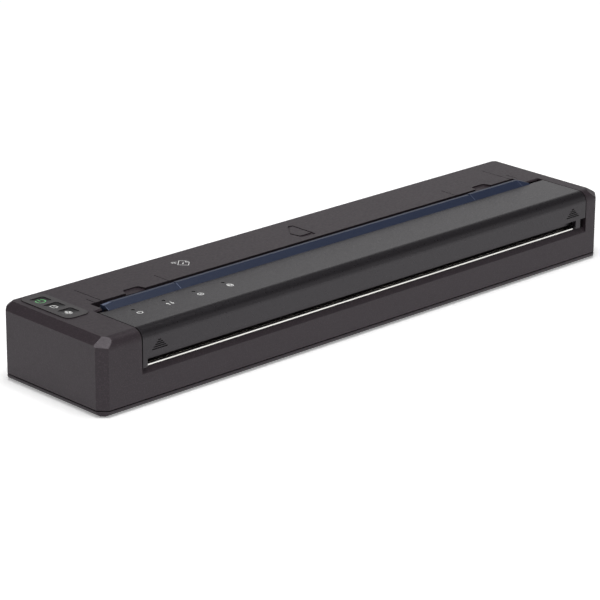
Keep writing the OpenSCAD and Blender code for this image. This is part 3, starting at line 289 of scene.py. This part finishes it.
def make_materials():
    """A material for each slot that a node has, two for the printed marks and one for the highlights painted
    on the ridge.
    """
    return {
        # the lighter flecks in the grain of the case and the cover are painted glints
        "case_plastic": moulded("case_plastic", CHARCOAL, rough=0.45, grain=0.5 * MM, depth=0.035 * MM,
                                painted_glint=0.8, specular=0.42, sheen=WARM_SHEEN),
        "cover_plastic": moulded("cover_plastic", (0.0136, 0.0122, 0.0140), rough=0.31, painted_glint=0.2,
                                 sheen=WARM_SHEEN),
        "ridge_plastic": moulded("ridge_plastic", (0.013, 0.021, 0.050), rough=0.4, depth=0.006 * MM),
        "bezel_plastic": moulded("bezel_plastic", (0.0325, 0.0285, 0.0305), rough=0.38, depth=0.006 * MM),
        "button_plastic": moulded("button_plastic", (0.020, 0.019, 0.020), rough=0.34, depth=0.004 * MM),
        "black_plastic": moulded("black_plastic", (0.014, 0.014, 0.015), rough=0.5),
        "gear_plastic": moulded("gear_plastic", (0.68, 0.66, 0.58), rough=0.38, depth=0.004 * MM),
        "lens_plastic": smoked("lens_plastic", dark=(0.008, 0.008, 0.009), light=(0.014, 0.014, 0.015)),
        "circuit_board": circuit_board("circuit_board", mask=(0.012, 0.085, 0.035),
                                       track=(0.02, 0.14, 0.055)),
        "chip_black": moulded("chip_black", (0.016, 0.016, 0.017), rough=0.55, grain=0.2 * MM),
        "battery_wrap": sleeve("battery_wrap", (0.035, 0.05, 0.085)),
        "foot_rubber": rubber("foot_rubber", (0.02, 0.02, 0.021)),
        "platen_rubber": rubber("platen_rubber", (0.035, 0.035, 0.038)),
        "steel": metal("steel", (0.6, 0.59, 0.57)),
        "bright_steel": metal("bright_steel", (0.98, 0.97, 0.93), along=ALONG_X),
        "zinc_plate": metal("zinc_plate", (0.58, 0.59, 0.57), rough=0.42),
        "aluminium": metal("aluminium", (0.78, 0.78, 0.79), rough=0.35, along=ALONG_X),
        "head_ceramic": moulded("head_ceramic", (0.62, 0.6, 0.54), rough=0.3, depth=0.002 * MM),
        "brass": metal("brass", (0.74, 0.56, 0.25)),
        "white_ink": ink("white_ink", (0.82, 0.82, 0.81)),
        "green_ink": ink("green_ink", (0.16, 0.52, 0.2)),
        # pale blue paint for the highlights that are painted along the ridge's edges
        "painted_ridge_highlight": moulded("painted_ridge_highlight", (0.11, 0.135, 0.21), rough=0.4, depth=0.002 * MM),
    }


def paint_nodes(materials):
    """Gives every CAD node the material of its slot in the record."""
    for name, node in NODES.items():
        node.data.materials.clear()
        node.data.materials.append(materials[slot_of(name)])


# ---------------------------------------------------------------- edges

# How far the edges of the small pieces that stand open to view are rounded, in millimetres
EDGE_RADIUS = {"power_button": 0.2, "feed_button": 0.2, "wireless_button": 0.2, "tear_bar": 0.12}
EDGE_SEGMENTS = 4
# Edges sharper than SHARP are rounded if they are longer, and their faces wider, than ROOM radii
SHARP = math.radians(28)
ROOM = 4
# Edges flatter than CREASE shade smooth, and faces within FLAT of each other become one
CREASE = math.radians(12)
FLAT = math.radians(0.3)
# Corners of a CAD mesh that are closer than this are the same corner
WELD = 0.002 * MM
# Keeps a face with no outline out of a division
TINY = 1e-9


def width_of(face):
    """How wide a thin face is."""
    return 2 * face.calc_area() / max(face.calc_perimeter(), TINY)


def round_edges(name, radius, material):
    """Stands a copy of the node in its place, with its sharp edges rounded as a mould leaves them."""
    shape = bmesh.new()
    shape.from_mesh(NODES[name].data)
    bmesh.ops.remove_doubles(shape, verts=shape.verts[:], dist=WELD)
    bmesh.ops.dissolve_limit(shape, angle_limit=FLAT, verts=shape.verts[:], edges=shape.edges[:])
    sharp = [
        edge for edge in shape.edges
        if edge.is_manifold and edge.calc_face_angle(0) > SHARP and edge.calc_length() > ROOM * radius
        and all(width_of(face) > ROOM * radius for face in edge.link_faces)
    ]
    for edge in shape.edges:
        edge.smooth = edge.is_manifold and edge.calc_face_angle(0) < CREASE
    for edge in sharp:
        edge.smooth = True
    bmesh.ops.bevel(shape, geom=sharp, offset=radius, segments=EDGE_SEGMENTS, profile=0.5, affect="EDGES",
                    clamp_overlap=False)
    mesh = bpy.data.meshes.new(name + "_skin")
    shape.to_mesh(mesh)
    shape.free()
    for attribute in [item.name for item in mesh.attributes if "normal" in item.name]:
        mesh.attributes.remove(mesh.attributes[attribute])
    for polygon in mesh.polygons:
        polygon.use_smooth = True
    mesh.materials.clear()
    mesh.materials.append(material)
    skin = stand(name + "_skin", mesh)
    normals = skin.modifiers.new("even_normals", "WEIGHTED_NORMAL")
    normals.keep_sharp = True
    normals.weight = 100
    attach(skin, body_of(name))
    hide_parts(name)


# ---------------------------------------------------------------- flat shapes, in millimetres

# The side of a stroke reaches at most 1 / MITRE times half its width out at a bend
MITRE = 0.5


def at(centre, *points):
    """The points, counted from a centre."""
    return [Vector((centre[0] + x, centre[1] + y)) for x, y in points]


def arc(centre, radius, start, end, steps, squash=1.0):
    """Points from one angle to another, in degrees; squash narrows the arc along X."""
    angles = [math.radians(start + (end - start) * i / steps) for i in range(steps + 1)]
    return at(centre, *[(radius * squash * math.cos(angle), radius * math.sin(angle)) for angle in angles])


def ring(centre, radius, steps, squash=1.0):
    """The points of a whole turn, each of them once."""
    return arc(centre, radius, 0, 360, steps, squash)[:-1]


def turned(faces, centre, degrees):
    """The shapes turned about a point."""
    turn = Matrix.Rotation(math.radians(degrees), 2)
    middle = Vector(centre)
    return [[middle + turn @ (point - middle) for point in face] for face in faces]


def stroke(points, line, closed=False):
    """A strip of four-sided faces along the points, as wide as line."""
    count = len(points)
    sides = []
    for index, point in enumerate(points):
        before = points[index - 1] if closed or index > 0 else 2 * point - points[1]
        after = points[(index + 1) % count] if closed or index < count - 1 else 2 * point - before
        behind, ahead = (point - before).normalized(), (after - point).normalized()
        across = Vector((-(ahead + behind).y, (ahead + behind).x)).normalized()
        reach = line / 2 / max(across.dot(Vector((-ahead.y, ahead.x))), MITRE)
        sides.append((point + across * reach, point - across * reach))
    following = sides[1:] + (sides[:1] if closed else [])
    return [[a[1], b[1], b[0], a[0]] for a, b in zip(sides, following)]


def power_symbol(centre, radius, line):
    """A ring that is open at its rear, with a stem in the gap."""
    stem = at(centre, (0, 0.15 * radius), (0, 0.7 * radius), (0, 1.15 * radius))
    return stroke(arc(centre, radius, start=125, end=415, steps=28), line) + stroke(stem, line)


def arrow(centre, length, line, way):
    """An arrow that points to the rear where way is 1, and to the front where it is -1."""
    half_head, neck, tip = 1.6 * line, way * length * 0.1, way * length * 0.5
    head = at(centre, (-half_head, neck), (half_head, neck), (0, tip))
    shaft = at(centre, (0, -tip), (0, way * length * 0.15))
    return stroke(shaft, line) + [head]


def sheet_symbol(centre, width, depth, line):
    """A sheet with a folded corner."""
    fold = 0.35 * width
    half, deep = width / 2, depth / 2
    edge = at(centre, (-half, -deep), (half, -deep), (half, deep - fold), (half - fold, deep), (-half, deep))
    corner = at(centre, (half, deep - fold), (half - fold, deep - fold), (half - fold, deep))
    return stroke(edge, line, closed=True) + stroke(corner, line)


def tick_symbol(centre, size):
    """A tick in a ring, about twice size across."""
    tick = at(centre, (-0.45 * size, 0.0), (-0.12 * size, -0.36 * size), (0.5 * size, 0.4 * size))
    edge = ring(centre, radius=1.05 * size, steps=24)
    return stroke(edge, 0.36 * size, closed=True) + stroke(tick, 0.3 * size)


def chevron(centre, size, line):
    """An open arrow head that points to the left."""
    return stroke(at(centre, (size * 0.5, size), (-size * 0.5, 0), (size * 0.5, -size)), line)


def waves(centre, radius, line):
    """A dot between two pairs of arcs."""
    faces = [ring(centre, 0.22 * radius, steps=12)]
    for share in (0.55, 0.95):
        for start in (35, 215):
            faces += stroke(arc(centre, share * radius, start, start + 110, steps=10), line)
    return faces


def oval(centre, radius, squash, slices=36):
    """A filled oval, in slices so that it follows a dished surface."""
    edge = ring(centre, radius, slices, squash)
    middle = Vector(centre)
    return [[middle, edge[i], edge[(i + 1) % slices]] for i in range(slices)]


# ---------------------------------------------------------------- printed marks, and painted highlights on the ridge's moulded seams

# Places in millimetres in the object's frame: the keys, the legends beside the indicators, and the sheet sign
# on the deck with the angle that it is turned by
KEY_X = -116.1
POWER_KEY = (KEY_X, 18.95)
FEED_KEY = (KEY_X, 11.25)
WIRELESS_KEY = (KEY_X, 3.55)
LEGEND_Y = -13.6
POWER_LEGEND = (-98.4, LEGEND_Y)
DATA_LEGEND = (-84.6, LEGEND_Y)
STATUS_LEGEND = (-70.4, LEGEND_Y)
WIRELESS_LEGEND = (-56.4, LEGEND_Y)
SHEET_MARK = (-52.6, 15.6)
SHEET_TURN = -46

# How high the top of a coat of ink lies in millimetres, and that of a second coat on it
COAT = 0.02
SECOND_COAT = 0.04
# The share of that height which is ink
INK_SHARE = 0.5
# The height from which a mark is dropped onto its node, and how near two of its corners are one, in metres
DROP_HEIGHT = 0.05
MARK_WELD = 0.001 * MM


def lay(name, node, faces, material, lift=COAT):
    """Lays flat shapes on the top of a node, as a coat of ink whose top is lift millimetres above it."""
    source = NODES[node].data
    tree = BVHTree.FromPolygons([v.co for v in source.vertices], [tuple(f.vertices) for f in source.polygons])
    vertices, polygons = [], []
    for face in faces:
        area = sum(a.cross(b) for a, b in zip(face, face[1:] + face[:1]))
        first = len(vertices)
        for point in (face if area > 0 else face[::-1]):
            above = Vector((point.x * MM, point.y * MM, DROP_HEIGHT))
            hit = tree.ray_cast(above, Vector((0, 0, -1)))[0]
            vertices.append(hit + Vector((0, 0, lift * MM)))
        polygons.append(tuple(range(first, len(vertices))))
    mesh = bpy.data.meshes.new(name)
    mesh.from_pydata(vertices, [], polygons)
    shape = bmesh.new()
    shape.from_mesh(mesh)
    bmesh.ops.remove_doubles(shape, verts=shape.verts[:], dist=MARK_WELD)
    shape.to_mesh(mesh)
    shape.free()
    mesh.materials.append(material)
    mark = stand(name, mesh)
    coat = mark.modifiers.new("coat", "SOLIDIFY")
    coat.thickness = INK_SHARE * lift * MM
    coat.offset = -1
    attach(mark, body_of(node))


def add_key_marks(materials):
    """Generic pictograms on the three keys."""
    white, green = materials["white_ink"], materials["green_ink"]
    lay("power_key_mark", "power_button", power_symbol(POWER_KEY, radius=1.7, line=0.45), green)
    x, y = FEED_KEY
    shapes = sheet_symbol((x, y + 0.35), width=1.9, depth=2.2, line=0.3)
    shapes += arrow((x, y - 0.95), length=1.3, line=0.3, way=-1)
    lay("feed_key_mark", "feed_button", shapes, white)
    lay("wireless_key_mark", "wireless_button", oval(WIRELESS_KEY, radius=1.6, squash=0.72), white)
    lay("wireless_key_waves", "wireless_button", waves(WIRELESS_KEY, radius=1.1, line=0.22),
        materials["button_plastic"], SECOND_COAT)


def add_legends(materials):
    """Generic pictograms beside the indicators."""
    shapes = power_symbol(POWER_LEGEND, radius=1.0, line=0.38)
    x, y = DATA_LEGEND
    for side, way in ((-0.85, 1), (0.85, -1)):
        shapes += arrow((x + side, y), length=2.4, line=0.4, way=way)
    shapes += tick_symbol(STATUS_LEGEND, size=1.0)
    shapes += oval(WIRELESS_LEGEND, radius=1.5, squash=0.75)
    lay("indicator_legends", "release_cover", shapes, materials["white_ink"])
    lay("legend_waves", "release_cover", waves(WIRELESS_LEGEND, radius=1.0, line=0.2),
        materials["cover_plastic"], SECOND_COAT)


def add_sheet_mark(materials):
    """A sheet sign on the deck, with an arrow in the sheet and two chevrons beside it."""
    x, y = SHEET_MARK
    shapes = sheet_symbol((x, y), width=3.9, depth=4.6, line=0.25)
    shapes += arrow((x - 0.2, y - 0.3), length=2.2, line=0.24, way=-1)
    for gap in (4.1, 3.1):
        shapes += chevron((x - gap, y), size=0.9, line=0.26)
    lay("sheet_mark", "upper_case", turned(shapes, SHEET_MARK, SHEET_TURN), materials["white_ink"])


# In millimetres: front and rear of the slope of the ridge, and its two seams, each with the width of the
# painted highlight along it
RIDGE_SLOPE_Y = (-4.85, -2.15)
RIDGE_SEAM_HIGHLIGHTS = ((-71.8, 0.3), (79.35, 0.18))
# The same for a painted highlight near its right end and one near its left end, whose places count from
# that end
RIGHT_HIGHLIGHT = (4.2, 0.18)
LEFT_HIGHLIGHT = (0.12, 0.2)
# A painted highlight patch on the flat behind the slope: how far it lies from the left end, and its outline
HIGHLIGHT_PATCH_GAP = 0.1
HIGHLIGHT_PATCH_OUTLINE = ((0, 0.15), (3.6, 0.15), (3.2, 1.1), (0, 1.1))


def add_ridge_painted_highlights(materials):
    """Painted highlights along the seams of the ridge and its left end, where their edges catch the light."""
    low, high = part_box("inlet_ridge")
    left, right = low.x / MM, high.x / MM
    front, rear = RIDGE_SLOPE_Y
    ends = ((right - RIGHT_HIGHLIGHT[0], RIGHT_HIGHLIGHT[1]), (left + LEFT_HIGHLIGHT[0], LEFT_HIGHLIGHT[1]))
    faces = []
    for x, line in RIDGE_SEAM_HIGHLIGHTS + ends:
        faces += stroke(at((x, 0), (0, front), (0, (front + rear) / 2), (0, rear)), line)
    faces.append(at((left + HIGHLIGHT_PATCH_GAP, rear), *HIGHLIGHT_PATCH_OUTLINE))
    lay("ridge_painted_highlights", "inlet_ridge", faces, materials["painted_ridge_highlight"])


# ---------------------------------------------------------------- stage and light

# The floor: half its width in metres, and its colour for the light that it gives back and for what is seen
FLOOR_REACH = 6.0
FLOOR_TONE = 0.8
FLOOR_SEEN = 0.97
# Its glow as the object mirrors it, and as the camera sees it: NEAR_GLOW up to GLOW_START metres from the
# middle, FAR_GLOW from GLOW_END on
MIRRORED_GLOW = 0.18
NEAR_GLOW = 0.3
FAR_GLOW = 1.0
GLOW_START = 0.4
GLOW_END = 1.5

# The studio: light of its walls and ceiling, and where one turns into the other (sine of the elevation)
WALL_LIGHT = 0.52
CEILING_LIGHT = 0.05
WALL_TOP = 0.38
CEILING_START = 0.55

# The lamps: each one's name, the radiance of its face, and in metres its place, target, width and height
LAMPS = (
    ("key", 6.4, (-0.05, -0.1, 1.1), (0, 0, 0.02), 0.7, 0.7),
    # a small lamp that the bevelled front left corner mirrors towards the camera
    ("glint", 10, (-0.6, -0.467, 0.815), (LEFT, FRONT, TOP), 0.2, 0.2),
    # a low panel behind the right end, which the top reflects more and more towards the right
    ("edge_panel", 0.28, (0.62, 0.5, 0.24), (0.05, 0, 0.02), 0.5, 0.3),
)


def floor_paper():
    """Pale paper that reads as white to the camera and in reflections."""
    surface = Surface("floor_paper")
    path = surface.nodes.new("ShaderNodeLightPath")
    seen = surface.nodes.new("ShaderNodeMath")
    seen.operation = "MAXIMUM"
    surface.link(path.outputs["Is Camera Ray"], seen.inputs[0])
    surface.link(path.outputs["Is Glossy Ray"], seen.inputs[1])
    surface.colour(surface.blend(seen.outputs["Value"], grey(FLOOR_TONE), grey(FLOOR_SEEN)))
    surface.polish(0.9, 0.98, size=100 * MM)
    # the lamps reach less far than the floor, so what the camera sees of it is lifted more and more
    distance = surface.nodes.new("ShaderNodeVectorMath")
    distance.operation = "LENGTH"
    surface.link(surface.place, distance.inputs[0])
    far = surface.spread(distance.outputs["Value"], 0, 1, GLOW_START, GLOW_END)
    lift = surface.blend(far, grey(NEAR_GLOW), grey(FAR_GLOW))
    glow = surface.blend(path.outputs["Is Camera Ray"], grey(MIRRORED_GLOW), lift)
    surface.link(glow, surface.shader.inputs["Emission Color"])
    surface.link(seen.outputs["Value"], surface.shader.inputs["Emission Strength"])
    surface.set(Specular_IOR_Level=0.0)
    return surface.material


def add_floor():
    """A flat floor that keeps the object's shadow."""
    reach = FLOOR_REACH
    mesh = bpy.data.meshes.new("floor")
    corners = [(-reach, -reach, 0), (reach, -reach, 0), (reach, reach, 0), (-reach, reach, 0)]
    mesh.from_pydata(corners, [], [(0, 1, 2, 3)])
    mesh.materials.append(floor_paper())
    floor = stand("floor", mesh)


def add_lamp(name, radiance, place, target, width, height):
    """A rectangular soft box whose face shines with the radiance."""
    data = bpy.data.lights.new(name, "AREA")
    data.shape = "RECTANGLE"
    data.size = width
    data.size_y = height
    data.energy = radiance * math.pi * width * height
    lamp = stand(name, data)
    lamp.location = place
    lamp.rotation_euler = (Vector(place) - Vector(target)).to_track_quat("Z", "Y").to_euler()


def add_world():
    """A pale studio that is brighter low down, where its walls are, than overhead."""
    world = bpy.data.worlds.new("studio")
    world.use_nodes = True
    bpy.context.scene.world = world
    nodes, links = world.node_tree.nodes, world.node_tree.links
    background = nodes["Background"]
    direction = nodes.new("ShaderNodeTexCoord").outputs["Generated"]
    split = nodes.new("ShaderNodeSeparateXYZ")
    links.new(direction, split.inputs["Vector"])
    ramp = nodes.new("ShaderNodeValToRGB")
    links.new(split.outputs["Z"], ramp.inputs["Fac"])
    ramp.color_ramp.interpolation = "EASE"
    low, high = ramp.color_ramp.elements
    low.position, high.position = WALL_TOP, CEILING_START
    low.color = (*grey(WALL_LIGHT), 1)
    high.color = (*grey(CEILING_LIGHT), 1)
    path = nodes.new("ShaderNodeLightPath")
    seen = nodes.new("ShaderNodeMix")
    seen.data_type = "RGBA"
    links.new(path.outputs["Is Camera Ray"], seen.inputs["Factor"])
    links.new(ramp.outputs["Color"], seen.inputs["A"])
    seen.inputs["B"].default_value = (1, 1, 1, 1)
    links.new(seen.outputs["Result"], background.inputs["Color"])
    background.inputs["Strength"].default_value = 1.0


# ---------------------------------------------------------------- scene

def main():
    add_camera()
    materials = make_materials()
    paint_nodes(materials)
    for name, radius in EDGE_RADIUS.items():
        round_edges(name, radius * MM, materials[slot_of(name)])
    add_key_marks(materials)
    add_legends(materials)
    add_sheet_mark(materials)
    add_ridge_painted_highlights(materials)
    add_floor()
    for lamp in LAMPS:
        add_lamp(*lamp)
    add_world()
    bpy.context.scene.view_settings.view_transform = "Standard"


main()
